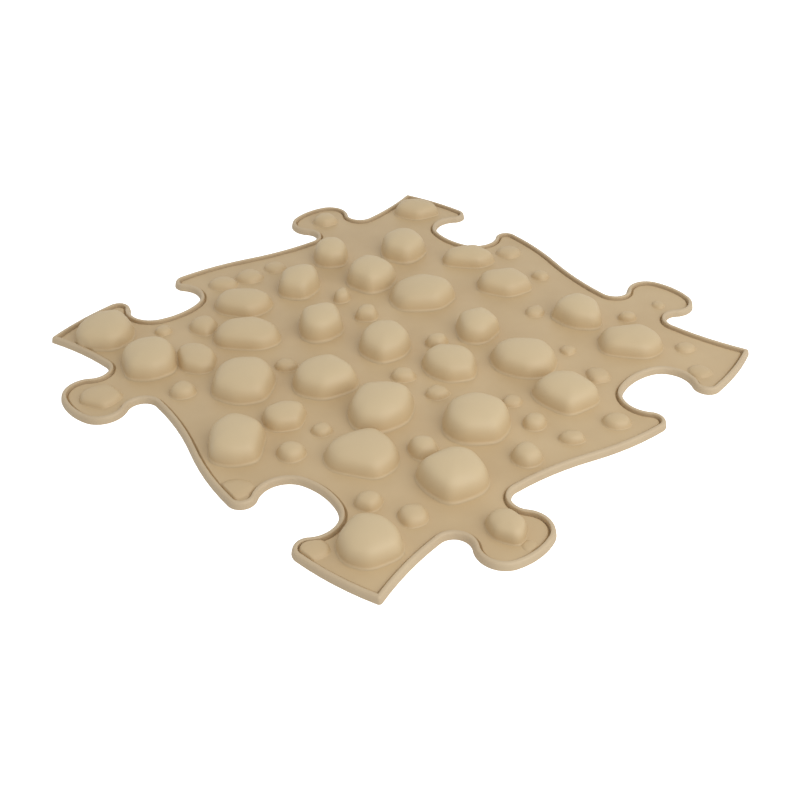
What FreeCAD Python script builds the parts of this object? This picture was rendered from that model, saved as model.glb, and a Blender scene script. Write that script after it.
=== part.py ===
# Sensory mat tile: a square soft floor tile with jigsaw tabs and sockets, a low rim along its
# outline, and a field of moulded river stones and pebbles inside the rim. Z is up, and the
# origin is on the flat underside, in the middle of the tile.
import FreeCAD, Part
import math
import os

# Whole tile, in millimetres
tile_pitch = 250.0        # from one laid tile to the next
fit_gap = 0.4             # clearance between two tiles that are pushed together
sheet_thickness = 2.0     # floor of the tile between the stones
rim_height = 3.4          # from the underside to the top of the rim
rim_width = 2.6
rim_bevel = 0.8           # outer top edge of the rim
tip_radius = 1.5          # corner of the tile, seen from above

# One jigsaw tab, and the socket of the same shape
tab_reach = 24.0          # from the pitch line to the end of the tab
belly_radius = 12.4       # full end of the tab, each side
belly_spacing = 13.5      # between the centres of the two belly arcs
nose_radius = 7.0         # rounded lip on each side of the socket
nose_rise = 1.5           # centre of the lip's arc, out from the pitch line
nose_turn = math.radians(4)       # how far before its crest the lip meets the long ramp
belly_turn = math.radians(18.4)   # where a belly arc meets the shallow end arc

# Stones
stone_height = 12.5       # tallest stone, above the sheet
stone_wall = 2.1          # skin over the hollow that is open below
least_hollow_width = 17.5 # narrower stones are solid
stone_corners = 9
pebble_corners = 7

# Outline of a stone as roundness (1 is an ellipse, less is squarer) and taper towards one end
form_shares = {
    "oval": (1.00, 0.05),
    "egg": (0.95, 0.22),
    "round": (0.92, 0.08),
    "block": (0.72, 0.10),
    "wedge": (0.85, 0.40),
}

# How far each corner of an outline stands out, so that no stone is quite regular
uneven_shares = (1.00, 0.95, 0.99, 0.93, 1.00, 0.96, 0.98, 0.94, 0.99)

# Upright profile as width and height shares, from the flared foot to the flat crown
stone_profile_shares = ((1.00, 0.00), (0.90, 0.34), (0.74, 0.84), (0.48, 1.00))
pebble_profile_shares = ((1.00, 0.00), (0.84, 0.50), (0.48, 1.00))

# Stones: place, length and width as shares of the pitch, height as a share of the tallest,
# direction of the length as a share of a full turn, and form
stone_shares = {
    "front_left": (
        (-0.432, -0.404, 0.112, 0.112, 0.92, 0.125, "block"),
        (-0.288, -0.396, 0.116, 0.104, 0.96, 0.417, "block"),
        (-0.230, -0.322, 0.096, 0.068, 0.64, 0.972, "oval"),
        (-0.340, -0.122, 0.120, 0.076, 0.68, 0.125, "block"),
        (-0.232, -0.192, 0.136, 0.088, 0.72, 0.125, "block"),
        (-0.106, -0.302, 0.116, 0.112, 0.84, 0.375, "block"),
        (-0.156, -0.070, 0.116, 0.080, 1.00, 0.333, "egg"),
        (-0.018, -0.014, 0.104, 0.100, 0.92, 0.375, "round"),
        (-0.006, -0.182, 0.124, 0.108, 0.92, 0.125, "egg"),
    ),
    "back_left": (
        (-0.318, 0.010, 0.112, 0.084, 0.92, 0.333, "egg"),
        (-0.376, 0.146, 0.088, 0.076, 0.92, 0.375, "round"),
        (-0.244, 0.148, 0.106, 0.100, 1.00, 0.375, "round"),
        (-0.286, 0.290, 0.112, 0.100, 1.00, 0.375, "round"),
        (-0.412, 0.452, 0.108, 0.076, 0.60, 0.125, "oval"),
        (-0.108, 0.182, 0.136, 0.112, 0.84, 0.167, "wedge"),
        (-0.150, 0.368, 0.124, 0.068, 0.64, 0.125, "oval"),
        (-0.016, 0.340, 0.120, 0.082, 0.72, 0.125, "oval"),
    ),
    "back_right": (
        (0.123, 0.027, 0.104, 0.092, 0.84, 0.083, "block"),
        (0.068, 0.164, 0.104, 0.072, 0.92, 0.333, "egg"),
        (0.184, 0.354, 0.108, 0.092, 0.88, 0.000, "egg"),
        (0.216, 0.142, 0.124, 0.112, 0.88, 0.083, "block"),
        (0.348, 0.116, 0.124, 0.100, 0.80, 0.083, "egg"),
        (0.322, 0.346, 0.132, 0.088, 0.68, 0.125, "block"),
    ),
    "front_right": (
        (0.138, -0.172, 0.140, 0.116, 1.00, 0.278, "round"),
        (0.290, -0.076, 0.136, 0.124, 1.00, 0.167, "round"),
        (0.372, -0.212, 0.124, 0.112, 1.00, 0.222, "block"),
        (0.395, -0.427, 0.108, 0.100, 0.84, 0.250, "block"),
        (0.220, -0.284, 0.132, 0.104, 0.76, 0.125, "block"),
        (0.036, -0.310, 0.084, 0.068, 0.60, 0.222, "egg"),
        (0.038, -0.424, 0.132, 0.096, 0.84, 0.389, "oval"),
    ),
}

# Solid pebbles between the stones, in the same columns
pebble_shares = {
    "front_left": (
        (-0.156, -0.408, 0.056, 0.048, 0.40, 0.125, "oval"),
        (-0.324, -0.238, 0.068, 0.060, 0.44, 0.375, "oval"),
        (-0.100, -0.196, 0.048, 0.040, 0.36, 0.125, "oval"),
    ),
    "back_left": (
        (-0.229, 0.051, 0.052, 0.036, 0.48, 0.333, "oval"),
        (-0.128, 0.032, 0.056, 0.044, 0.52, 0.250, "oval"),
    ),
    "back_right": (
        (0.042, 0.070, 0.048, 0.044, 0.44, 0.125, "oval"),
        (0.100, 0.304, 0.048, 0.040, 0.40, 0.250, "oval"),
        (0.346, 0.212, 0.056, 0.044, 0.40, 0.056, "oval"),
        (0.360, 0.008, 0.052, 0.044, 0.48, 0.250, "oval"),
        (0.284, 0.032, 0.044, 0.036, 0.40, 0.167, "oval"),
    ),
    "front_right": (
        (0.088, -0.066, 0.052, 0.044, 0.40, 0.125, "oval"),
        (0.420, -0.078, 0.060, 0.056, 0.56, 0.125, "round"),
        (0.276, -0.198, 0.056, 0.056, 0.56, 0.125, "round"),
        (0.398, -0.330, 0.060, 0.048, 0.40, 0.056, "oval"),
        (0.314, -0.354, 0.052, 0.044, 0.40, 0.125, "oval"),
        (0.134, -0.368, 0.056, 0.048, 0.44, 0.125, "oval"),
    ),
}

# The lowest pebbles, which share one node in each quarter of the tile
low_pebble_shares = {
    "front_left": (
        (-0.368, -0.308, 0.040, 0.036, 0.24, 0.125, "oval"),
        (-0.428, -0.044, 0.068, 0.056, 0.36, 0.125, "oval"),
        (-0.444, -0.108, 0.068, 0.056, 0.36, 0.125, "oval"),
    ),
    "back_left": (
        (-0.430, 0.018, 0.052, 0.048, 0.24, 0.125, "oval"),
        (-0.112, 0.460, 0.060, 0.056, 0.32, 0.125, "oval"),
    ),
    "back_right": (
        (0.006, 0.430, 0.044, 0.036, 0.32, 0.125, "oval"),
        (0.242, 0.244, 0.036, 0.032, 0.32, 0.125, "oval"),
        (0.260, 0.432, 0.040, 0.032, 0.32, 0.125, "oval"),
        (0.410, 0.418, 0.044, 0.036, 0.24, 0.125, "oval"),
        (0.477, 0.372, 0.048, 0.044, 0.32, 0.125, "oval"),
        (0.444, 0.022, 0.052, 0.036, 0.32, 0.125, "oval"),
        (0.468, 0.116, 0.056, 0.048, 0.32, 0.125, "oval"),
    ),
    "front_right": (
        (0.172, -0.058, 0.052, 0.040, 0.32, 0.125, "oval"),
        (0.344, -0.500, 0.056, 0.048, 0.24, 0.125, "oval"),
        (0.118, -0.286, 0.044, 0.036, 0.32, 0.125, "oval"),
        (0.140, -0.496, 0.064, 0.048, 0.12, 0.125, "oval"),
    ),
}

# Pebbles on the tabs: place beyond the tab's middle, clockwise, and out from the pitch line,
# length and width, all as shares of the tab's reach, then height, direction and form as above
tab_pebble_shares = {
    "back": (
        (0.20, 0.18, 0.33, 0.29, 0.24, 0.125, "oval"),
    ),
    "right": (
        (-0.06, 0.25, 0.71, 0.58, 0.56, 0.222, "egg"),
        (-0.06, 0.75, 0.29, 0.25, 0.16, 0.125, "oval"),
    ),
    "front": (
        (0.00, 0.29, 0.83, 0.63, 0.28, 0.125, "oval"),
    ),
    "left": (
        (0.06, 0.27, 0.67, 0.54, 0.48, 0.125, "oval"),
    ),
}

os.makedirs("parts", exist_ok=True)
up = FreeCAD.Vector(0, 0, 1)
sides = ("back", "right", "front", "left")
quarter = math.pi / 2


def save(shape, node):
    """Write one node to its STEP file"""
    shape.exportStep(f"parts/{node}.step")


def turned(thing, quarters):
    """Point or shape turned about the middle of the tile, clockwise seen from above"""
    if isinstance(thing, FreeCAD.Vector):
        return FreeCAD.Rotation(up, -90 * quarters).multVec(thing)
    copy = thing.copy()
    copy.rotate(FreeCAD.Vector(), up, -90 * quarters)
    return copy


def polar(centre, radius, angle):
    """Point at an angle and distance from a centre, at the height of the centre"""
    return centre + FreeCAD.Vector(radius * math.cos(angle), radius * math.sin(angle), 0)


def direction(start, end):
    """Angle of the line from one point to another, seen from above"""
    return math.atan2(end.y - start.y, end.x - start.x)


def socket_arcs():
    """Arcs past one socket, measured along the pitch line from the tip and out from that line

    Each is centre, radius, first and last angle, and 1 where the tile is inside the circle.
    """
    middle = tile_pitch / 4
    belly_offset = belly_spacing / 2
    belly_depth = tab_reach - belly_radius - belly_offset * math.tan(belly_turn / 2)
    drop = nose_rise + belly_depth
    spread = math.sqrt((nose_radius + belly_radius) ** 2 - drop ** 2)
    lean = math.atan2(drop, spread)
    nose = FreeCAD.Vector(middle - belly_offset - spread, nose_rise, 0)
    belly = FreeCAD.Vector(middle - belly_offset, -belly_depth, 0)
    end_centre = belly + FreeCAD.Vector(belly_offset, belly_offset / math.tan(belly_turn), 0)
    end_radius = belly_radius + belly_offset / math.sin(belly_turn)

    # The long ramp runs from the tip, at zero, to a smooth contact with the nose
    contact_angle = quarter + nose_turn
    contact = polar(nose, nose_radius, contact_angle)
    outward = polar(FreeCAD.Vector(), 1, contact_angle)
    ramp_radius = contact.dot(contact) / (2 * contact.dot(outward))
    ramp = contact - outward * ramp_radius
    tip_angle = direction(ramp, FreeCAD.Vector())

    half = [
        (ramp, ramp_radius, tip_angle, contact_angle, 1),
        (nose, nose_radius, contact_angle, -lean, 1),
        (belly, belly_radius, math.pi - lean, math.pi + quarter - belly_turn, -1),
    ]
    end_angles = (math.pi + quarter - belly_turn, math.pi + quarter + belly_turn)
    arcs = half + [(end_centre, end_radius, *end_angles, -1)]
    for centre, radius, first, last, side in reversed(half):
        mirrored = FreeCAD.Vector(2 * middle - centre.x, centre.y, 0)
        arcs.append((mirrored, radius, math.pi - last, math.pi - first, side))
    return arcs


def back_edge_arcs():
    """Arcs of the back edge from its left tip: past the socket, then round the tab"""
    arcs = []
    for start, flip in ((0, 1), (tile_pitch / 2, -1)):
        for centre, radius, first, last, side in socket_arcs():
            place = FreeCAD.Vector(centre.x + start - tile_pitch / 2, flip * centre.y + tile_pitch / 2, 0)
            arcs.append((place, radius, flip * first, flip * last, flip * side))
    return arcs


def back_edge_path(inset, corner_radius=0):
    """Edges along the back of the tile, drawn in by the inset, with the half corners at its ends"""
    arcs = back_edge_arcs()
    first_centre, first_radius = arcs[0][:2]
    last_centre, last_radius = arcs[-1][:2]
    left_centre = turned(last_centre, -1)

    # The corner is where this edge's first circle crosses the left edge's last one
    depth = inset + corner_radius
    own = Part.Circle(first_centre, up, first_radius - depth)
    left = Part.Circle(left_centre, up, last_radius + depth)
    tip = FreeCAD.Vector(-tile_pitch / 2, tile_pitch / 2, 0)
    hits = [FreeCAD.Vector(hit.X, hit.Y, 0) for hit in own.intersect(left)]
    corner = min(hits, key=tip.distanceToPoint)
    begin = direction(first_centre, corner)
    end = direction(last_centre, turned(corner, 1))
    arcs[0] = (first_centre, first_radius, begin, *arcs[0][3:])
    arcs[-1] = (last_centre, last_radius, arcs[-1][2], end, arcs[-1][4])

    path = []
    for centre, radius, first, last, side in arcs:
        reach = radius - side * inset
        points = [polar(centre, reach, angle) for angle in (first, (first + last) / 2, last)]
        path.append(Part.Arc(*points).toShape())
    if not corner_radius:
        return path

    # Half of each rounded corner belongs to this edge, so that the rim is mitred at the tips
    other = begin + (direction(corner, left_centre) - begin) % (2 * math.pi)
    mitre = (begin + other) / 2
    half = [polar(corner, corner_radius, angle) for angle in (mitre, (mitre + begin) / 2, begin)]
    far = [turned(polar(corner, corner_radius, angle), 1) for angle in (other, (other + mitre) / 2, mitre)]
    return [Part.Arc(*half).toShape()] + path + [Part.Arc(*far).toShape()]


def closed_wire(edges):
    """One closed wire from edges in any order"""
    return Part.Wire(Part.sortEdges(edges)[0])


# Inner foot of the rim, which is also the edge of the sheet
inner_path = back_edge_path(fit_gap / 2 + rim_width)
sheet_outline = closed_wire([turned(edge, side) for side in range(4) for edge in inner_path])
sheet_top = sheet_outline.translated(up * sheet_thickness)


class Stone:
    """One stone or pebble: where its foot stands on the sheet, and its sizes and outline"""

    def __init__(self, place, length, width, height_share, turn_share, form, corners, profile_shares):
        self.place = place + up * sheet_thickness
        self.length = length
        self.width = width
        self.height = height_share * stone_height
        self.turning = FreeCAD.Rotation(up, math.degrees(4 * quarter) * turn_share)
        self.roundness, self.taper = form_shares[form]
        self.corners = corners
        self.profile_shares = profile_shares

    def ring(self, width_share, level):
        """Corners of the outline at one width share, at a height above the sheet"""
        points = []
        for number in range(self.corners):
            angle = 2 * math.pi * number / self.corners
            lengthwise = math.copysign(abs(math.cos(angle)) ** self.roundness, math.cos(angle))
            sideways = math.copysign(abs(math.sin(angle)) ** self.roundness, math.sin(angle))
            sideways *= 1 - self.taper * lengthwise
            corner = FreeCAD.Vector(self.length / 2 * lengthwise, self.width / 2 * sideways, 0)
            corner = self.turning.multVec(corner * uneven_shares[number] * width_share)
            points.append(self.place + corner + up * level)
        return points

    def width_at(self, level):
        """Width share of the outside at a height above the sheet"""
        pairs = zip(self.profile_shares, self.profile_shares[1:])
        for (wide, low), (narrow, high) in pairs:
            if level <= high * self.height:
                return wide + (narrow - wide) * (level / self.height - low) / (high - low)
        return narrow

    def hollow_rings(self):
        """Foot and ceiling of the hollow, one wall inside the outside of the stone"""
        wall_share = stone_wall / (self.width / 2)
        ceiling = self.height - stone_wall
        foot_share = self.profile_shares[1][0] - wall_share
        return self.ring(foot_share, 0), self.ring(self.width_at(ceiling) - wall_share, ceiling)

    def is_hollow(self):
        """Whether the stone is wide enough to be hollow"""
        return self.width >= least_hollow_width

    def solid(self):
        """The finished stone, cut off where it would run under the rim"""
        shape = faceted([self.ring(share, level * self.height) for share, level in self.profile_shares])
        if self.is_hollow():
            shape = shape.cut(faceted(self.hollow_rings()))
        if shape.distToShape(sheet_top)[0] > rim_width / 10:
            return shape
        return shape.common(Part.Face(sheet_top).extrude(up * stone_height))


def polygon(points):
    """Closed wire through points"""
    return Part.makePolygon(points + points[:1])


def faceted(rings):
    """Solid through rings of one outline at several widths, so that all its facets are flat"""
    facets = [rings[0], rings[-1]]
    for lower, upper in zip(rings, rings[1:]):
        for number in range(len(lower)):
            facets.append([lower[number - 1], lower[number], upper[number], upper[number - 1]])
    shell = Part.Shell([Part.Face(polygon(facet)) for facet in facets])
    shell.sewShape()
    return Part.Solid(shell)


def field_stones(rows, corners, profile_shares):
    """Stones of one area inside the pitch lines"""
    stones = []
    for x_share, y_share, length_share, width_share, *rest in rows:
        place = FreeCAD.Vector(x_share, y_share, 0) * tile_pitch
        sizes = (length_share * tile_pitch, width_share * tile_pitch)
        stones.append(Stone(place, *sizes, *rest, corners, profile_shares))
    return stones


def tab_pebbles(side):
    """Pebbles on the tab of one side"""
    pebbles = []
    for beyond_share, out_share, length_share, width_share, *rest in tab_pebble_shares[side]:
        along = tile_pitch / 4 + beyond_share * tab_reach
        place = FreeCAD.Vector(along, tile_pitch / 2 + out_share * tab_reach, 0)
        sizes = (length_share * tab_reach, width_share * tab_reach)
        place = turned(place, sides.index(side))
        pebbles.append(Stone(place, *sizes, *rest, pebble_corners, pebble_profile_shares))
    return pebbles


def make_rim():
    """Four mitred rim pieces, each with its ramps, lips, socket and tab, bevelled outside on top"""
    outer_path = back_edge_path(fit_gap / 2, tip_radius)
    ends = [Part.makeLine(outer_path[0].Vertexes[0].Point, inner_path[0].Vertexes[0].Point),
            Part.makeLine(outer_path[-1].Vertexes[-1].Point, inner_path[-1].Vertexes[-1].Point)]
    piece = Part.Face(closed_wire(outer_path + ends + inner_path)).extrude(up * rim_height)
    crest = Part.Wire(outer_path).translated(up * rim_height)
    near = rim_bevel / 100
    bevelled = []
    for edge in piece.Edges:
        middle = Part.Vertex(edge.valueAt((edge.FirstParameter + edge.LastParameter) / 2))
        if middle.distToShape(crest)[0] < near and edge.BoundBox.ZLength < near:
            bevelled.append(edge)
    piece = piece.makeChamfer(rim_bevel, bevelled)
    for number, side in enumerate(sides):
        save(turned(piece, number), f"rim_{side}")


def make_sheet(stones):
    """Floor of the tile, with a hole under each hollow stone"""
    holes = []
    for stone in stones:
        if stone.is_hollow():
            hole = polygon(stone.hollow_rings()[0])
            holes.append(hole.translated(-up * sheet_thickness))
    face = Part.makeFace([sheet_outline] + holes, "Part::FaceMakerBullseye")
    save(face.extrude(up * sheet_thickness), "base_sheet")


def make_stones():
    """Stones and pebbles, the lowest pebbles together by quarter and those on a tab by side"""
    every_stone = []
    for area in stone_shares:
        stones = field_stones(stone_shares[area], stone_corners, stone_profile_shares)
        every_stone += stones
        for number, stone in enumerate(stones, 1):
            save(stone.solid(), f"stone_{area}_{number}")
        pebbles = field_stones(pebble_shares[area], pebble_corners, pebble_profile_shares)
        for number, pebble in enumerate(pebbles, 1):
            save(pebble.solid(), f"pebble_{area}_{number}")
        low = field_stones(low_pebble_shares[area], pebble_corners, pebble_profile_shares)
        save(Part.Compound([pebble.solid() for pebble in low]), f"low_pebbles_{area}")
    for side in sides:
        save(Part.Compound([pebble.solid() for pebble in tab_pebbles(side)]), f"tab_pebbles_{side}")
    return every_stone


make_rim()
make_sheet(make_stones())
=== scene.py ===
import math

import bpy
import numpy as np
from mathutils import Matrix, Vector
from mathutils.geometry import delaunay_2d_cdt


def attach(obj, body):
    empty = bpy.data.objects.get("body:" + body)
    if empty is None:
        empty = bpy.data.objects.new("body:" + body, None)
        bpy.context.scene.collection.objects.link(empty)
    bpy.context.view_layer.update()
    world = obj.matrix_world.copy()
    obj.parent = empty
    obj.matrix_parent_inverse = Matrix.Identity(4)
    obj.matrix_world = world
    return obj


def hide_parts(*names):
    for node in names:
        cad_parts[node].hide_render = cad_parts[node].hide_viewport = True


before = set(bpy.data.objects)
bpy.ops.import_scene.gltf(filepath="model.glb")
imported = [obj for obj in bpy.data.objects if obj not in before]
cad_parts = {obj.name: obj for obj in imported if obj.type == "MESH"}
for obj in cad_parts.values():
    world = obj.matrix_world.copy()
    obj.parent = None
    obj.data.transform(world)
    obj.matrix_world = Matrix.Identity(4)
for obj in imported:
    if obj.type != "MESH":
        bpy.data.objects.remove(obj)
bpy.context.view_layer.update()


# Jigsaw rim: a raised bead runs round the whole tile, along its long ramps and round lips, and
# round the tabs and sockets that lock into the next tiles. It is cast in one with the sheet,
# in soft PVC, and its flat crest is rounded outside and crisp inside. Sizes are in mm.
millimetre = 0.001
tile_pitch = 250.0
fit_gap = 0.4
rim_width = 2.6
tip_radius = 1.5
least_corner_radius = 0.15
tab_reach = 24.0
belly_radius = 12.4
belly_spacing = 13.5
nose_radius = 7.0
nose_rise = 1.5
nose_turn = math.radians(4)
belly_turn = math.radians(18.4)

# Cross-section from the inner foot over the crest to the outer foot: in from the
# outside, and up
bead_section = ((2.6, 0.0), (2.6, 0.7), (2.60, 1.7), (2.59, 2.6), (2.55, 2.98), (2.45, 3.22),
                (2.26, 3.36), (1.98, 3.40), (1.66, 3.39), (1.30, 3.32), (0.98, 3.17),
                (0.71, 2.92), (0.50, 2.55), (0.34, 2.0), (0.19, 1.3), (0.07, 0.6), (0.0, 0.15),
                (0.10, 0.03), (0.30, 0.0))

# Steps of the mesh along the arcs of the outline, and round half of each tip
least_arc_steps = 3
arc_step = math.radians(5)
tip_steps = 4

# The casting is plasticised PVC in a sand beige. The open mould leaves it a satin skin: broad
# soft highlights, pigment in faint clouds, and a colour that turns paler higher up, partly as
# wear where feet rub the crowns and partly as a painted highlight on them
cloud_size = 30.0
wear_and_highlight_from = 2.0
wear_and_highlight_to = 12.0

# Mould grain is 0.4 mm across; drawn at 1.2 mm, which is the finest that shows here
grain_size = 1.2
grain_depth = 0.06


def linear(hex_colour):
    """sRGB hex to the linear colour that shaders take"""
    parts = [int(hex_colour[i:i + 2], 16) / 255 for i in (1, 3, 5)]
    return [p / 12.92 if p <= 0.04045 else ((p + 0.055) / 1.055) ** 2.4 for p in parts] + [1]


def add(tree, kind, settings=None, links=None):
    """One shader node, with values for its properties or sockets, and links into its sockets"""
    node = tree.nodes.new("ShaderNode" + kind)
    for name, value in (settings or {}).items():
        if isinstance(name, int) or name in node.inputs:
            node.inputs[name].default_value = value
        else:
            setattr(node, name, value)
    for name, source in (links or {}).items():
        tree.links.new(source, node.inputs[name])
    return node


def soft_pvc_moulded(name, dull, bright, wear_and_highlight):
    """Soft PVC as it leaves the mould, clouded from dull to bright, and paler on high places as
    wear and painted highlight
    """
    material = bpy.data.materials.new(name)
    material.use_nodes = True
    tree = material.node_tree
    tree.nodes.clear()
    place = add(tree, "TexCoord").outputs["Object"]

    clouding = {"Scale": 1 / (cloud_size * millimetre), "Detail": 3.0, "Roughness": 0.5}
    cloud = add(tree, "TexNoise", clouding, {"Vector": place})
    shades = add(tree, "ValToRGB", links={0: cloud.outputs[0]})
    shades.color_ramp.elements[0].position = 0.35
    shades.color_ramp.elements[0].color = linear(dull)
    shades.color_ramp.elements[1].position = 0.65
    shades.color_ramp.elements[1].color = linear(bright)
    # Paler with height: wear where feet rub the crowns, and a painted highlight on them
    height = add(tree, "SeparateXYZ", links={0: place}).outputs["Z"]
    wear_and_highlight_range = {"From Min": wear_and_highlight_from * millimetre, "From Max": wear_and_highlight_to * millimetre}
    share = add(tree, "MapRange", wear_and_highlight_range, {"Value": height})

    # Sockets 6 and 7 of this node are the two colours that it mixes
    colour = add(tree, "Mix", {"data_type": "RGBA", 7: linear(wear_and_highlight)},
                 {0: share.outputs[0], 6: shades.outputs[0]})

    graining = {"Scale": 1 / (grain_size * millimetre), "Detail": 2.0}
    grain = add(tree, "TexNoise", graining, {"Vector": place})
    skin = add(tree, "Bump", {"Strength": 0.25, "Distance": grain_depth * millimetre},
               {"Height": grain.outputs[0]})
    satin = add(tree, "MapRange", {"To Min": 0.44, "To Max": 0.56}, {"Value": grain.outputs[0]})
    surface = add(tree, "BsdfPrincipled", {"IOR": 1.53, "Metallic": 0.0},
                  {"Base Color": colour.outputs[2], "Roughness": satin.outputs[0],
                   "Normal": skin.outputs[0]})
    add(tree, "OutputMaterial", links={0: surface.outputs[0]})
    return material


def piece(name, node, finish, points, normals, skin, flat, hollow=()):
    """A closed mesh of points in mm, which stands for a CAD node

    The skin takes the normals given for its points, so that neighbouring pieces of the one
    casting meet without a seam. Undersides and joints are flat, and hollows are smooth.
    """
    mesh = bpy.data.meshes.new(name)
    mesh.from_pydata((points * millimetre).tolist(), [], [*skin, *flat, *hollow])
    smooth = [True] * len(skin) + [False] * len(flat) + [True] * len(hollow)
    mesh.polygons.foreach_set("use_smooth", smooth)
    skin_corners = [corner for face in skin for corner in face]
    corner_normals = np.zeros((len(mesh.loops), 3))
    corner_normals[:len(skin_corners)] = normals[skin_corners]
    mesh.normals_split_custom_set(corner_normals.tolist())
    mesh.materials.append(finish)
    thing = bpy.data.objects.new(name, mesh)
    bpy.context.scene.collection.objects.link(thing)
    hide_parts(node)
    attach(thing, "root")


def spun(points, quarters):
    """Points turned clockwise about the middle of the tile, seen from above"""
    points = np.array(points, float)
    for _ in range(quarters % 4):
        points[..., 0], points[..., 1] = points[..., 1].copy(), -points[..., 0].copy()
    return points


def on_circle(centre, radius, angle):
    """Point of a circle at an angle"""
    return np.array([centre[0] + radius * math.cos(angle), centre[1] + radius * math.sin(angle)])


def bearing(start, end):
    """Angle of the line from one point to another"""
    return math.atan2(end[1] - start[1], end[0] - start[0])


def socket_arcs():
    """Arcs from a tip past a socket, along the pitch line and out from it

    Each is centre, radius, first and last angle, and 1 where the tile is inside the circle.
    """
    offset = belly_spacing / 2
    depth = tab_reach - belly_radius - offset * math.tan(belly_turn / 2)
    drop = nose_rise + depth
    spread = math.sqrt((nose_radius + belly_radius) ** 2 - drop ** 2)
    lean = math.atan2(drop, spread)
    middle = tile_pitch / 4
    nose = (middle - offset - spread, nose_rise)
    belly = (middle - offset, -depth)
    end = (middle, -depth + offset / math.tan(belly_turn))
    end_radius = belly_radius + offset / math.sin(belly_turn)

    # The long ramp runs from the tip to a smooth contact with the lip
    contact_angle = math.pi / 2 + nose_turn
    contact = on_circle(nose, nose_radius, contact_angle)
    outward = on_circle((0, 0), 1, contact_angle)
    ramp_radius = contact @ contact / (2 * contact @ outward)
    ramp = contact - outward * ramp_radius

    half = [(ramp, ramp_radius, bearing(ramp, (0, 0)), contact_angle, 1),
            (nose, nose_radius, contact_angle, -lean, 1),
            (belly, belly_radius, math.pi - lean, 1.5 * math.pi - belly_turn, -1)]
    arcs = half + [(end, end_radius, 1.5 * math.pi - belly_turn, 1.5 * math.pi + belly_turn, -1)]
    for centre, radius, first, last, side in reversed(half):
        arcs.append(((2 * middle - centre[0], centre[1]), radius,
                     math.pi - last, math.pi - first, side))
    return arcs


def back_edge_arcs():
    """Arcs of the back edge from its left tip: past the socket, then round the tab"""
    arcs = []
    for start, flip in ((0, 1), (tile_pitch / 2, -1)):
        for centre, radius, first, last, side in socket_arcs():
            place = (centre[0] + start - tile_pitch / 2, flip * centre[1] + tile_pitch / 2)
            arcs.append((place, radius, flip * first, flip * last, flip * side))
    return arcs


def where_circles_cross(one, one_radius, other, other_radius, near):
    """The crossing of two circles that lies nearer to a point"""
    one, other = np.array(one), np.array(other)
    gap = np.linalg.norm(other - one)
    along = (gap ** 2 + one_radius ** 2 - other_radius ** 2) / (2 * gap)
    across = math.sqrt(one_radius ** 2 - along ** 2)
    way = (other - one) / gap
    sideways = np.array([-way[1], way[0]])
    hits = [one + way * along + sideways * across * sign for sign in (1, -1)]
    return min(hits, key=lambda hit: np.linalg.norm(hit - near))


def back_edge_points(inset, corner_radius):
    """Points along the back edge, drawn in by the inset, from mitre to mitre of its tips"""
    arcs = back_edge_arcs()
    left_centre = spun(arcs[-1][0], 3)
    depth = inset + corner_radius
    tip = (-tile_pitch / 2, tile_pitch / 2)
    corner = where_circles_cross(arcs[0][0], arcs[0][1] - depth, left_centre,
                                 arcs[-1][1] + depth, tip)
    begin = bearing(arcs[0][0], corner)
    end = bearing(arcs[-1][0], spun(corner, 1))
    other = begin + (bearing(corner, left_centre) - begin) % (2 * math.pi)
    mitre = (begin + other) / 2
    near_tip = np.linspace(mitre, begin, tip_steps + 1)[:-1]
    far_tip = np.linspace(other, mitre, tip_steps + 1)

    points = [on_circle(corner, corner_radius, angle) for angle in near_tip]
    for number, (centre, radius, first, last, side) in enumerate(arcs):
        steps = least_arc_steps + round(abs(last - first) / arc_step)
        first = begin if number == 0 else first
        last = end if number == len(arcs) - 1 else last
        angles = np.linspace(first, last, steps + 1)[:-1]
        points += [on_circle(centre, radius - side * inset, angle) for angle in angles]
    points += [spun(on_circle(corner, corner_radius, angle), 1) for angle in far_tip]
    return np.array(points)


def outline_at(inset, corner_radius=least_corner_radius):
    """Closed loop round the tile, drawn in by the inset"""
    edge = back_edge_points(inset, corner_radius)
    return np.concatenate([spun(edge[:-1], quarter) for quarter in range(4)])


def bead_grid():
    """Points of the whole bead, as loop by cross-section, and their normals"""
    rows = []
    for inset, level in bead_section:
        radius = max(least_corner_radius, tip_radius * (1 - inset / rim_width))
        loop = outline_at(inset + fit_gap / 2, radius)
        rows.append(np.column_stack([loop, np.full(len(loop), level)]))
    grid = np.stack(rows, axis=1)
    along = np.roll(grid, -1, axis=0) - np.roll(grid, 1, axis=0)
    across = np.gradient(grid, axis=1)
    normals = np.cross(along, across)
    return grid, normals / np.linalg.norm(normals, axis=2, keepdims=True)


# The rim's skin is a little paler and greyer than the sheet's: painted light, standing in for the
# bounce light on its walls
rim_pvc_painted_bounce_light = soft_pvc_moulded("soft PVC, moulded, painted bounce light", "#C8B291", "#CEB997", "#D2BE9C")


def make_rim():
    """Four like lengths of the bead, which meet at the tips of the tile"""
    grid, grid_normals = bead_grid()
    rows = len(bead_section)
    steps = len(grid) // 4
    for quarter, side in enumerate(("back", "right", "front", "left")):
        used = [(quarter * steps + step) % len(grid) for step in range(steps + 1)]
        crest, under = [], []
        for near in range(0, steps * rows, rows):
            far = near + rows
            crest += [(near + row, far + row, far + row + 1, near + row + 1)
                      for row in range(rows - 1)]
            under.append((far - 1, far + rows - 1, far, near))
        ends = [tuple(range(rows)), tuple(reversed(range(steps * rows, (steps + 1) * rows)))]
        piece(f"moulded_rim_{side}", f"rim_{side}", rim_pvc_painted_bounce_light, grid[used].reshape(-1, 3),
              grid_normals[used].reshape(-1, 3), crest, under + ends)


make_rim()


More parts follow.
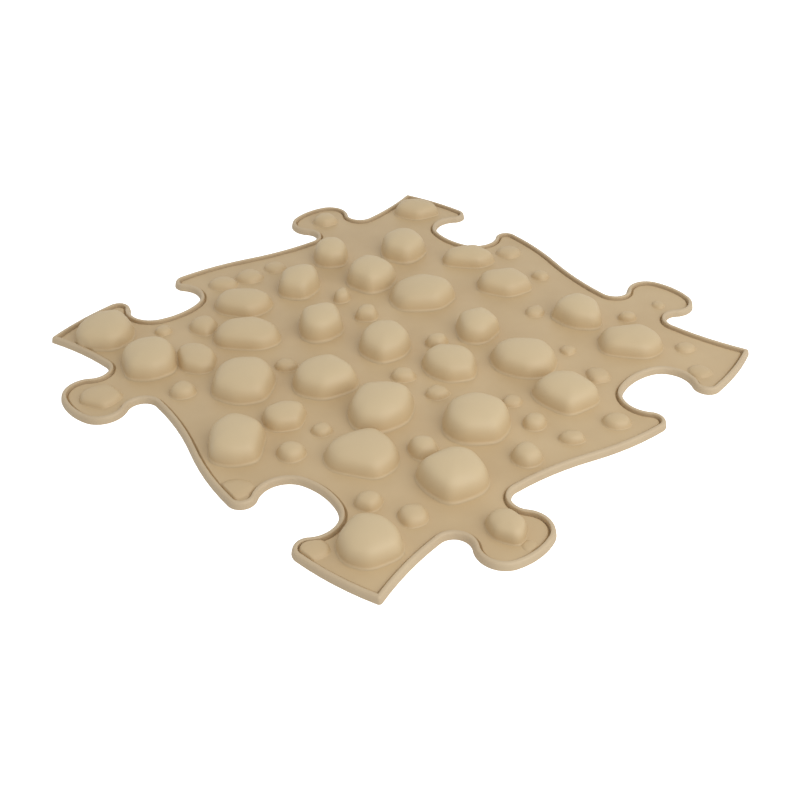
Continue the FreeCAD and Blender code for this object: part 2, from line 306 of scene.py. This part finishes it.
# Stones and pebbles: river stones and pebbles stand up from the sheet, with rounded, slightly
# tilted crowns and a fillet round each foot. They are cast in one with it, and the wide ones
# are hollow from below, as thick masses of PVC would sink and warp as they cool.
sheet_top = 2.0
groove_width = 1.3
groove_depth = 1.4
stone_wall = 2.1
least_hollow_width = 17.5
longest_pebble = 18.0

# Outline as squareness of the plan and taper towards one end
plans = {"oval": (2.0, 0.05), "egg": (2.1, 0.20), "round": (2.1, 0.06), "block": (2.8, 0.08),
         "wedge": (2.3, 0.34)}
taper_strength = 0.8

# No stone is quite regular: its sides turn by up to this share of a side, and stand out or in
side_turn_share = 0.2
side_reach_shares = (-0.02, 0.06)

# A dome, taller than the stone, makes the steep sides, and a slightly bent crown cuts it off.
# Where they meet they are blended, and the foot runs out in a fillet. Shares are of the height
dome_share = 1.27
crown_share = 1.02
crown_bend_share = 0.30
blend_share = 0.19
fillet_share = 0.10
largest_fillet = 0.7

# Each: node, x, y, length, width, height, turn of the length in degrees, plan, and the
# crown's tilt as the direction it falls towards, in degrees, and its slope
stones = (
    ("stone_front_left_1", -107, -102, 28, 28, 10.5, 45, "block", 300, 0.08),
    ("stone_front_left_2", -70.5, -100, 29, 26, 11.0, 150, "block", 315, 0.06),
    ("stone_front_left_3", -56.5, -82, 25.5, 18, 7.0, 350, "oval", 0, 0.05),
    ("stone_front_left_4", -83.5, -33.5, 31, 20, 8.5, 45, "block", 315, 0.06),
    ("stone_front_left_5", -56.5, -51, 34, 22, 9.0, 45, "block", 315, 0.08),
    ("stone_front_left_6", -24.5, -77.5, 30.5, 29.5, 10.5, 135, "block", 315, 0.05),
    ("stone_front_left_7", -38, -17.5, 29, 20, 12.5, 120, "egg", 30, 0.06),
    ("stone_front_left_8", -3, -5.5, 27.5, 26, 11.5, 135, "round", 330, 0.07),
    ("stone_front_left_9", 1.5, -48, 31, 27, 11.5, 45, "egg", 300, 0.06),
    ("stone_back_left_1", -79, 1.5, 28, 21, 11.5, 120, "egg", 0, 0.05),
    ("stone_back_left_2", -93, 35, 23, 20, 11.5, 135, "round", 330, 0.08),
    ("stone_back_left_3", -58.5, 35, 28.5, 26.5, 12.5, 135, "round", 30, 0.08),
    ("stone_back_left_4", -70.5, 70.5, 28.5, 25.5, 12.5, 135, "round", 315, 0.05),
    ("stone_back_left_5", -102.5, 112, 27, 19, 7.5, 45, "oval", 315, 0.05),
    ("stone_back_left_6", -24, 43, 35, 28, 10.5, 60, "wedge", 270, 0.08),
    ("stone_back_left_7", -37, 90.5, 31, 17, 8.0, 45, "oval", 315, 0.05),
    ("stone_back_left_8", -3, 83.5, 31, 21, 8.5, 45, "oval", 330, 0.06),
    ("stone_back_right_1", 33, 5, 26.5, 23, 10.0, 30, "block", 330, 0.06),
    ("stone_back_right_2", 18.5, 39, 27, 18.5, 11.0, 120, "egg", 0, 0.05),
    ("stone_back_right_3", 46.5, 87, 27, 23, 11.0, 0, "egg", 330, 0.08),
    ("stone_back_right_4", 55.5, 34.5, 30.5, 27, 10.5, 30, "block", 315, 0.05),
    ("stone_back_right_5", 88, 27.5, 31, 25, 10.0, 30, "egg", 330, 0.06),
    ("stone_back_right_6", 81.5, 85, 33, 22, 8.5, 45, "block", 315, 0.04),
    ("stone_front_right_1", 37, -44.5, 34, 28, 12.0, 100, "round", 330, 0.06),
    ("stone_front_right_2", 74, -19.5, 32.5, 29.5, 12.5, 60, "round", 340, 0.06),
    ("stone_front_right_3", 94, -54.5, 29.5, 27, 12.0, 80, "block", 10, 0.07),
    ("stone_front_right_4", 99.5, -107.5, 26, 24, 10.0, 90, "block", 300, 0.05),
    ("stone_front_right_5", 56.5, -72.5, 32, 25, 9.0, 45, "block", 330, 0.03),
    ("stone_front_right_6", 11, -79.5, 21, 17, 7.5, 80, "egg", 0, 0.05),
    ("stone_front_right_7", 10.5, -107.5, 33.5, 25, 10.5, 140, "oval", 20, 0.05),
)
pebbles = (
    ("pebble_front_left_1", -39, -102, 14, 12, 5.0, 45, "oval", 0, 0.02),
    ("pebble_front_left_2", -80.5, -61.5, 17, 15, 5.5, 135, "oval", 0, 0.02),
    ("pebble_front_left_3", -22.5, -53, 12, 10, 3.8, 45, "oval", 0, 0.02),
    ("pebble_back_left_1", -54, 10, 13, 9, 6.0, 120, "oval", 0, 0.02),
    ("pebble_back_left_2", -31, 7.5, 14, 11, 6.5, 90, "oval", 0, 0.02),
    ("pebble_back_right_1", 13, 15.5, 12, 11, 5.5, 45, "oval", 0, 0.02),
    ("pebble_back_right_2", 27, 74.5, 12, 10, 3.2, 90, "oval", 0, 0.02),
    ("pebble_back_right_3", 87, 51.5, 14, 11, 3.2, 20, "oval", 0, 0.02),
    ("pebble_back_right_4", 91.5, 0, 13, 11, 5.0, 90, "oval", 0, 0.02),
    ("pebble_back_right_5", 73, 5.5, 11, 9, 2.8, 60, "oval", 0, 0.02),
    ("pebble_front_right_1", 23, -17.5, 13, 11, 4.4, 45, "oval", 0, 0.02),
    ("pebble_front_right_2", 105, -21, 15, 14, 6.4, 45, "round", 0, 0.02),
    ("pebble_front_right_3", 71, -50.5, 14, 14, 7.0, 45, "round", 0, 0.02),
    ("pebble_front_right_4", 99, -83.5, 15, 12, 4.6, 20, "oval", 0, 0.02),
    ("pebble_front_right_5", 80.5, -91, 13, 11, 5.0, 45, "oval", 0, 0.02),
    ("pebble_front_right_6", 33, -94, 14, 12, 5.5, 45, "oval", 0, 0.02),
)
low_pebbles = (
    ("low_pebbles_front_left", -91.5, -78.5, 10, 9, 3.0, 45, "oval", 0, 0),
    ("low_pebbles_front_left", -106.5, -12.5, 17, 14, 4.0, 45, "oval", 0, 0),
    ("low_pebbles_front_left", -110, -28, 17, 14, 3.8, 45, "oval", 0, 0),
    ("low_pebbles_back_left", -105.5, 4.5, 13, 12, 3.0, 45, "oval", 0, 0),
    ("low_pebbles_back_left", -27.5, 114, 15, 14, 3.2, 45, "oval", 0, 0),
    ("low_pebbles_back_right", 3.5, 106, 11, 9, 3.4, 45, "oval", 0, 0),
    ("low_pebbles_back_right", 62.5, 58.5, 9, 8, 2.4, 45, "oval", 0, 0),
    ("low_pebbles_back_right", 64, 105, 10, 8, 4.0, 45, "oval", 0, 0),
    ("low_pebbles_back_right", 101.5, 103, 11, 9, 2.5, 45, "oval", 0, 0),
    ("low_pebbles_back_right", 118.5, 90.5, 12, 11, 1.8, 45, "oval", 0, 0),
    ("low_pebbles_back_right", 110, 3.5, 13, 9, 4.0, 45, "oval", 0, 0),
    ("low_pebbles_back_right", 116, 28, 14, 12, 4.0, 45, "oval", 0, 0),
    ("low_pebbles_front_right", 44.5, -15.5, 13, 10, 4.0, 45, "oval", 0, 0),
    ("low_pebbles_front_right", 86, -125, 14, 12, 2.2, 45, "oval", 0, 0),
    ("low_pebbles_front_right", 29.5, -73.5, 11, 9, 3.4, 45, "oval", 0, 0),
    ("low_pebbles_front_right", 35.5, -125, 16, 12, 1.5, 45, "oval", 0, 0),
)
tab_pebbles = (
    ("tab_pebbles_back", 67, 128, 8, 7, 1.6, 315, "oval", 0, 0),
    ("tab_pebbles_right", 130.5, -61.5, 19, 15, 7.0, 350, "egg", 300, 0.03),
    ("tab_pebbles_right", 142.5, -62, 7, 6, 0.7, 315, "oval", 0, 0),
    ("tab_pebbles_front", -62, -132.5, 21, 16, 3.5, 45, "oval", 0, 0),
    ("tab_pebbles_left", -131, 63, 16, 13, 5.0, 45, "oval", 0, 0),
)

soft_pvc = soft_pvc_moulded("soft PVC, moulded", "#C8AE85", "#CFB68D", "#D6C098")


class Stone:
    """One stone or pebble: a steep dome over a softly cornered outline, cut by a tilted crown"""

    def __init__(self, row, seed):
        self.node, self.x, self.y, self.length, self.width, self.height = row[:6]
        turn, plan, fall_way, slope = row[6:]
        fall_way = math.radians(fall_way)
        self.fall = slope * np.array([math.cos(fall_way), math.sin(fall_way)])
        self.blend = blend_share * self.height
        self.fillet = min(largest_fillet, fillet_share * self.height)

        # Pebbles are rounder than stones, with softer corners and less steep sides
        self.large = self.length > longest_pebble
        self.corner_power = 8 if self.large else 4.2
        self.side_power = 4.7 if self.large else 3.0
        self.sides = self.uneven_sides(math.radians(turn), *plans[plan], seed)

    def uneven_sides(self, turn, squareness, taper, seed):
        """Direction of each side of the outline, divided by how far out the side lies"""
        chance = np.random.default_rng(seed)
        count = 7 if self.large else 6
        power = squareness / (squareness - 1)
        ways, reaches = [], []
        for number in range(count):
            turned = number + chance.uniform(-side_turn_share, side_turn_share)
            way = 2 * math.pi * turned / count
            lengthwise, sideways = math.cos(way), math.sin(way)
            reach = ((self.length / 2 * abs(lengthwise)) ** power
                     + (self.width / 2 * abs(sideways)) ** power) ** (1 / power)
            reach *= 1 - taper * lengthwise * abs(sideways) * taper_strength
            ways.append(way + turn)
            reaches.append(reach * (1 + chance.uniform(*side_reach_shares)))
        return np.array([np.cos(ways), np.sin(ways)]) / reaches

    def places(self, reach, angles):
        """x and y at a reach from the stone's middle, along the given angles"""
        return self.x + reach * np.cos(angles), self.y + reach * np.sin(angles)

    def rise(self, x, y):
        """Height above the sheet, running out in a fillet at the foot"""
        x, y = x - self.x, y - self.y
        parts = np.multiply.outer(x, self.sides[0]) + np.multiply.outer(y, self.sides[1])
        share = (parts.clip(0) ** self.corner_power).sum(-1) ** (1 / self.corner_power)
        dome = dome_share * self.height * (1 - share ** self.side_power)
        crown = self.height * (crown_share - crown_bend_share * share ** 2)
        crown = crown - x * self.fall[0] - y * self.fall[1]
        lower = np.minimum(dome, crown)
        level = lower - self.blend * np.log1p(np.exp(-abs(dome - crown) / self.blend))
        fillet = self.fillet
        eased = np.where(level > fillet, level, (level + fillet) ** 2 / (4 * fillet))
        return np.where(level < -fillet, 0, eased)


every_row = stones + pebbles + low_pebbles + tab_pebbles
every_stone = [Stone(row, seed) for seed, row in enumerate(every_row)]

# Distances from the inner foot of the rim are mapped once, on a 1 mm grid round the tile
map_reach = 152.0
map_steps = np.arange(-map_reach, map_reach + 1)
map_batch = 4000


def map_rim_foot():
    """Distance in from the inner foot of the rim at each point of the map"""
    start = outline_at(fit_gap / 2 + rim_width)
    step = np.roll(start, -1, axis=0) - start
    x, y = (part.ravel() for part in np.meshgrid(map_steps, map_steps, indexing="ij"))
    result = np.empty(x.size)
    for first in range(0, x.size, map_batch):
        batch = slice(first, first + map_batch)
        from_x = x[batch, None] - start[None, :, 0]
        from_y = y[batch, None] - start[None, :, 1]
        share = ((from_x * step[:, 0] + from_y * step[:, 1]) / (step ** 2).sum(1)).clip(0, 1)
        dx, dy = from_x - share * step[:, 0], from_y - share * step[:, 1]
        far = dx ** 2 + dy ** 2
        near = far.argmin(1)
        rows = np.arange(len(near))
        inside = step[near, 0] * dy[rows, near] - step[near, 1] * dx[rows, near] < 0
        result[batch] = np.sqrt(far[rows, near]) * np.where(inside, 1, -1)
    return result.reshape(map_steps.size, map_steps.size)


rim_foot_map = map_rim_foot()


def past_rim_foot(x, y):
    """Distance in from the inner foot of the rim, below zero under the rim"""
    column, row = x + map_reach, y + map_reach
    i, j = column.astype(int), row.astype(int)
    u, v = column - i, row - j
    return ((rim_foot_map[i, j] * (1 - u) + rim_foot_map[i + 1, j] * u) * (1 - v)
            + (rim_foot_map[i, j + 1] * (1 - u) + rim_foot_map[i + 1, j + 1] * u) * v)


def floor_level(x, y):
    """The sheet's upper side: a groove at the foot of the rim, and a very slight unevenness"""
    share = (past_rim_foot(x, y) / groove_width).clip(0, 1)
    groove = groove_depth * (1 - share * share * (3 - 2 * share))

    # Two faint waves, one along the edges and one aslant, up to 0.10 and 0.07 mm high
    straight = 0.10 * np.sin(x / 6.1 + 1.3) * np.sin(y / 7.3 + 0.4)
    aslant = 0.07 * np.sin((x + y) / 4.7) * np.sin((x - y) / 5.9 + 2.0)
    return sheet_top - groove + (straight + aslant) * share


def surface_level(x, y, near):
    """Upper side of the casting where the given stones stand close together"""
    squares = sum(stone.rise(x, y) ** 2 for stone in near)
    return floor_level(x, y) + np.sqrt(squares)


# A foot is found in steps out from near the middle of the stone, then by halving the last step
first_foot_share = 0.1
foot_step = 0.3
foot_halvings = 12
least_rise = 1e-5
rim_overlap = 0.2
near_gap = 8.0


def neighbours(stone):
    """The stone itself and those whose feet may run into its own"""
    found = []
    for other in every_stone:
        gap = math.hypot(other.x - stone.x, other.y - stone.y)
        if gap < (other.length + stone.length) / 2 + near_gap:
            found.append(other)
    return found


def foot_radii(stone, near, angles):
    """How far the stone reaches at each angle: to its own foot, to a neighbour, or to the rim"""
    others = [other for other in near if other is not stone]

    def owned(radii):
        x, y = stone.places(radii, angles)
        own = stone.rise(x, y)
        result = own > least_rise
        for other in others:
            result &= other.rise(x, y) < own
        return result & (past_rim_foot(x, y) > -rim_overlap)

    inner = np.full(len(angles), first_foot_share * stone.width)
    outer = inner.copy()
    growing = np.ones(len(angles), bool)
    while growing.any():
        outer = np.where(growing, outer + foot_step, outer)
        growing &= owned(outer)
        inner = np.where(growing, outer, inner)
    for _ in range(foot_halvings):
        middle = (inner + outer) / 2
        inside = owned(middle)
        inner, outer = np.where(inside, middle, inner), np.where(inside, outer, middle)
    return inner


slope_probe = 0.05


def upright_normals(level_at, x, y):
    """Normals at places of a surface, whose level is a function of the place"""
    run = 2 * slope_probe
    slope_x = (level_at(x + slope_probe, y) - level_at(x - slope_probe, y)) / run
    slope_y = (level_at(x, y + slope_probe) - level_at(x, y - slope_probe)) / run
    normals = np.column_stack([-slope_x, -slope_y, np.ones(len(x))])
    return normals / np.linalg.norm(normals, axis=1, keepdims=True)


# The mouth of a hollow grows in steps until the stone above it is too low or the foot too near.
# The ceiling is drawn as rings at shares of the mouth, and drops towards it
first_mouth_share = 0.2
mouth_step = 0.2
mouth_steps = 60
mouth_margin = 1.2
least_hollow_depth = 0.3
ceiling_shares = (1.0, 0.97, 0.9, 0.78, 0.6, 0.4, 0.2)
ceiling_power = 8
ceiling_drop_share = 0.8

# The base sheet has a hole at each of these mouths
hollow_mouths = []


def hollow_rings(stone, radii, angles, foot):
    """Rings of the hollow from its mouth inwards, one wall inside the outside of the stone"""
    scale = 1 - stone_wall / (stone.width / 2)
    mouth = np.full(len(angles), first_mouth_share * stone.width)
    for _ in range(mouth_steps):
        reach = mouth + mouth_step
        outside = stone.rise(*stone.places(reach / scale, angles))
        tall = outside > stone_wall + least_hollow_depth
        mouth = np.where(tall & (mouth < (radii - mouth_margin)), reach, mouth)
    x, y = stone.places(mouth, angles)
    hollow_mouths.append(np.column_stack([x, y]))
    rings = [np.column_stack([x, y, foot])]
    for share in ceiling_shares:
        outside = stone.rise(*stone.places(mouth * share / scale, angles))
        depth = np.maximum(outside - stone_wall, least_hollow_depth)
        level = sheet_top + depth * (1 - share ** ceiling_power * ceiling_drop_share)
        rings.append(np.column_stack([*stone.places(mouth * share, angles), level]))
    return rings


# Spokes and rings of a stone's mesh and of a pebble's, and how its edge goes into the sheet
stone_spokes, stone_rings = 88, 24
pebble_spokes, pebble_rings = 44, 13
tuck = 0.3
foot_below_groove = 0.4
least_foot_wall = 0.05


def stone_mesh(stone):
    """Points and normals of a closed stone, and its faces as skin, flat ones and hollow ones"""
    spokes = stone_spokes if stone.large else pebble_spokes
    rings = stone_rings if stone.large else pebble_rings
    angles = np.linspace(0, 2 * math.pi, spokes, endpoint=False)
    near = neighbours(stone)
    radii = foot_radii(stone, near, angles)

    def level_at(x, y):
        return surface_level(x, y, near)

    x, y = stone.places(np.linspace(0, 1, rings + 1)[1:, None] * radii, angles)
    x, y = np.append(stone.x, x), np.append(stone.y, y)
    points = [np.column_stack([x, y, level_at(x, y)])]
    normals = upright_normals(level_at, x, y)

    # The edge of the skin tucks down into the sheet, or under the next stone
    edge = stone.places(radii + tuck, angles)
    foot = np.full(spokes, sheet_top - groove_depth - foot_below_groove)
    tucked = np.maximum(level_at(*edge) - tuck, foot + least_foot_wall)
    points += [np.column_stack([*edge, tucked]), np.column_stack([*edge, foot])]
    is_hollow = stone.width >= least_hollow_width
    if is_hollow:
        points += hollow_rings(stone, radii, angles, foot)
    points = np.concatenate(points)

    # A fan of faces round the middle, and a band of them from each ring to the next
    following = [(k + 1) % spokes for k in range(spokes)]
    skin = [(0, 1 + k, 1 + after) for k, after in enumerate(following)]
    bands = []
    for ring in range(1, len(points) - spokes, spokes):
        outer = ring + spokes
        bands.append([(ring + k, outer + k, outer + after, ring + after)
                      for k, after in enumerate(following)])
    first_flat, first_hollow = rings - 1, rings + 2
    skin += sum(bands[:first_flat], [])
    flat = sum(bands[first_flat:first_hollow], [])
    hollow = sum(bands[first_hollow:], [])

    # One face closes the middle of the ceiling, or the whole foot
    last = hollow if is_hollow else flat
    last.append(tuple(reversed(range(len(points) - spokes, len(points)))))
    unused = np.zeros((len(points) - len(normals), 3))
    return points, np.concatenate([normals, unused]), (skin, flat, hollow)


def make_node_of_stones(node):
    """One object for all stones or pebbles of a node"""
    points, normals, all_faces = [], [], ([], [], [])
    start = 0
    for stone in every_stone:
        if stone.node == node:
            own_points, own_normals, own_faces = stone_mesh(stone)
            for faces, own in zip(all_faces, own_faces):
                faces += [tuple(start + corner for corner in face) for face in own]
            points.append(own_points)
            normals.append(own_normals)
            start += len(own_points)
    piece(f"moulded_{node}", node, soft_pvc, np.concatenate(points), np.concatenate(normals),
          *all_faces)


for node in dict.fromkeys(stone.node for stone in every_stone):
    make_node_of_stones(node)


# Base sheet: the floor of the tile, 2 mm thick, joins rim and stones in the one casting. A
# narrow groove runs along the foot of the rim, and the hollows of the wide stones open through
# its underside.
groove_insets = (0, 0.2, 0.45, 0.7, 0.9, 1.1, 1.3, 1.8, 2.5, 3.2)
mesh_spacing = 3.6
mesh_margin = 4.2
mesh_reach = 150
hole_margin = 1
hole_clear_share = 0.75
merge_distance = 1e-5


def sheet_plan():
    """Points and triangles of the sheet seen from above, with a hole below each hollow stone"""
    loops = [outline_at(fit_gap / 2 + rim_width + inset, least_corner_radius + inset / 4)
             for inset in groove_insets]
    points, edges = [], []
    for loop in loops + hollow_mouths:
        first = len(points)
        points += [Vector(point) for point in loop]
        edges += [(first + k, first + (k + 1) % len(loop)) for k in range(len(loop))]

    # Between the loops the points lie in staggered rows
    steps = np.arange(-mesh_reach, mesh_reach, mesh_spacing)
    x, y = np.meshgrid(steps, steps)
    x = x + (np.arange(len(steps)) % 2)[:, None] * mesh_spacing / 2
    x, y = x.ravel(), y.ravel()
    keep = past_rim_foot(x, y) > mesh_margin
    for loop in hollow_mouths:
        middle = loop.mean(0)
        reach = np.linalg.norm(loop - middle, axis=1).max() + hole_margin
        keep &= np.hypot(x - middle[0], y - middle[1]) > reach * hole_clear_share
    points += [Vector(point) for point in np.column_stack([x, y])[keep]]

    # Output type 2 is the triangles inside the outline, less the holes
    made = delaunay_2d_cdt(points, edges, [], 2, merge_distance)
    return np.array([tuple(point) for point in made[0]]), [tuple(face) for face in made[2]]


def make_base_sheet():
    """The sheet as a closed mesh, with walls at its outline and round its holes"""
    plan, top = sheet_plan()
    x, y = plan.T
    count = len(plan)
    upper = np.column_stack([plan, floor_level(x, y)])
    lower = np.column_stack([plan, np.zeros(count)])
    underside = [tuple(corner + count for corner in reversed(face)) for face in top]
    sides = dict.fromkeys(side for a, b, c in top for side in ((a, b), (b, c), (c, a)))
    walls = [(b, a, a + count, b + count) for a, b in sides if (b, a) not in sides]
    normals = np.concatenate([upright_normals(floor_level, x, y), np.zeros((count, 3))])
    piece("moulded_base_sheet", "base_sheet", soft_pvc, np.concatenate([upper, lower]), normals,
          top, underside + walls)


make_base_sheet()


# Studio floor: matte white paper that the camera sees as white, and that keeps the soft shadow
# of the tile. Sizes from here on are in metres.
floor_half = 4.0


def make_floor():
    """A large square of paper under the tile"""
    paper = bpy.data.materials.new("white paper, matte")
    paper.use_nodes = True
    tree = paper.node_tree
    tree.nodes.clear()
    matte = add(tree, "BsdfDiffuse", {"Color": linear("#F8F8F8")})
    seen = add(tree, "LightPath").outputs["Is Camera Ray"]
    glow = add(tree, "Emission", {"Color": linear("#FFFFFF")}, {"Strength": seen})
    both = add(tree, "AddShader", links={0: matte.outputs[0], 1: glow.outputs[0]})
    add(tree, "OutputMaterial", links={0: both.outputs[0]})
    mesh = bpy.data.meshes.new("studio_floor")
    corners = [(-floor_half, -floor_half, 0), (floor_half, -floor_half, 0),
               (floor_half, floor_half, 0), (-floor_half, floor_half, 0)]
    mesh.from_pydata(corners, [], [(0, 1, 2, 3)])
    mesh.materials.append(paper)
    floor = bpy.data.objects.new("studio_floor", mesh)
    bpy.context.scene.collection.objects.link(floor)


make_floor()


# Studio light: an even white sky, which the camera and reflections see as plain white, and one
# broad soft box to the right of the tile.
sky_strength = 0.55
box_side = 0.9
box_power = 3.75
box_place = (0.62, 0.05, 0.58)


def make_light():
    """The sky and the soft box"""
    world = bpy.data.worlds.new("studio sky")
    bpy.context.scene.world = world
    world.use_nodes = True
    tree = world.node_tree
    tree.nodes.clear()
    path = add(tree, "LightPath")
    shown = add(tree, "Math", {"operation": "MAXIMUM"},
                {0: path.outputs["Is Camera Ray"], 1: path.outputs["Is Glossy Ray"]})
    shown = add(tree, "Math", {"operation": "MAXIMUM"},
                {0: shown.outputs[0], 1: path.outputs["Is Transmission Ray"]})
    strength = add(tree, "MapRange", {"To Min": sky_strength, "To Max": 1.0},
                   {"Value": shown.outputs[0]})
    sky = add(tree, "Background", {"Color": linear("#FFFFFF")}, {"Strength": strength.outputs[0]})
    add(tree, "OutputWorld", links={0: sky.outputs[0]})

    lamp = bpy.data.lights.new("soft box", "AREA")
    lamp.shape = "RECTANGLE"
    lamp.size, lamp.size_y = box_side, box_side
    lamp.energy = box_power
    box = bpy.data.objects.new("soft box", lamp)
    box.visible_camera = False
    box.location = box_place
    box.rotation_euler = box.location.to_track_quat("Z", "Y").to_euler()
    bpy.context.scene.collection.objects.link(box)


make_light()


# Camera: it stands where the photograph was taken from, out beyond the tile's front right tip
# and above it. The place was found by fitting the jigsaw outline.
camera_data = bpy.data.cameras.new("photo camera")
camera_data.lens = 48.27
camera_data.sensor_width = 36
camera = bpy.data.objects.new("photo camera", camera_data)
camera.location = (0.33356, -0.31065, 0.29416)
camera.rotation_euler = [math.radians(angle) for angle in (54.413, 0.07, 46.804)]
bpy.context.scene.collection.objects.link(camera)
bpy.context.scene.camera = camera
bpy.context.scene.view_settings.view_transform = "Standard"
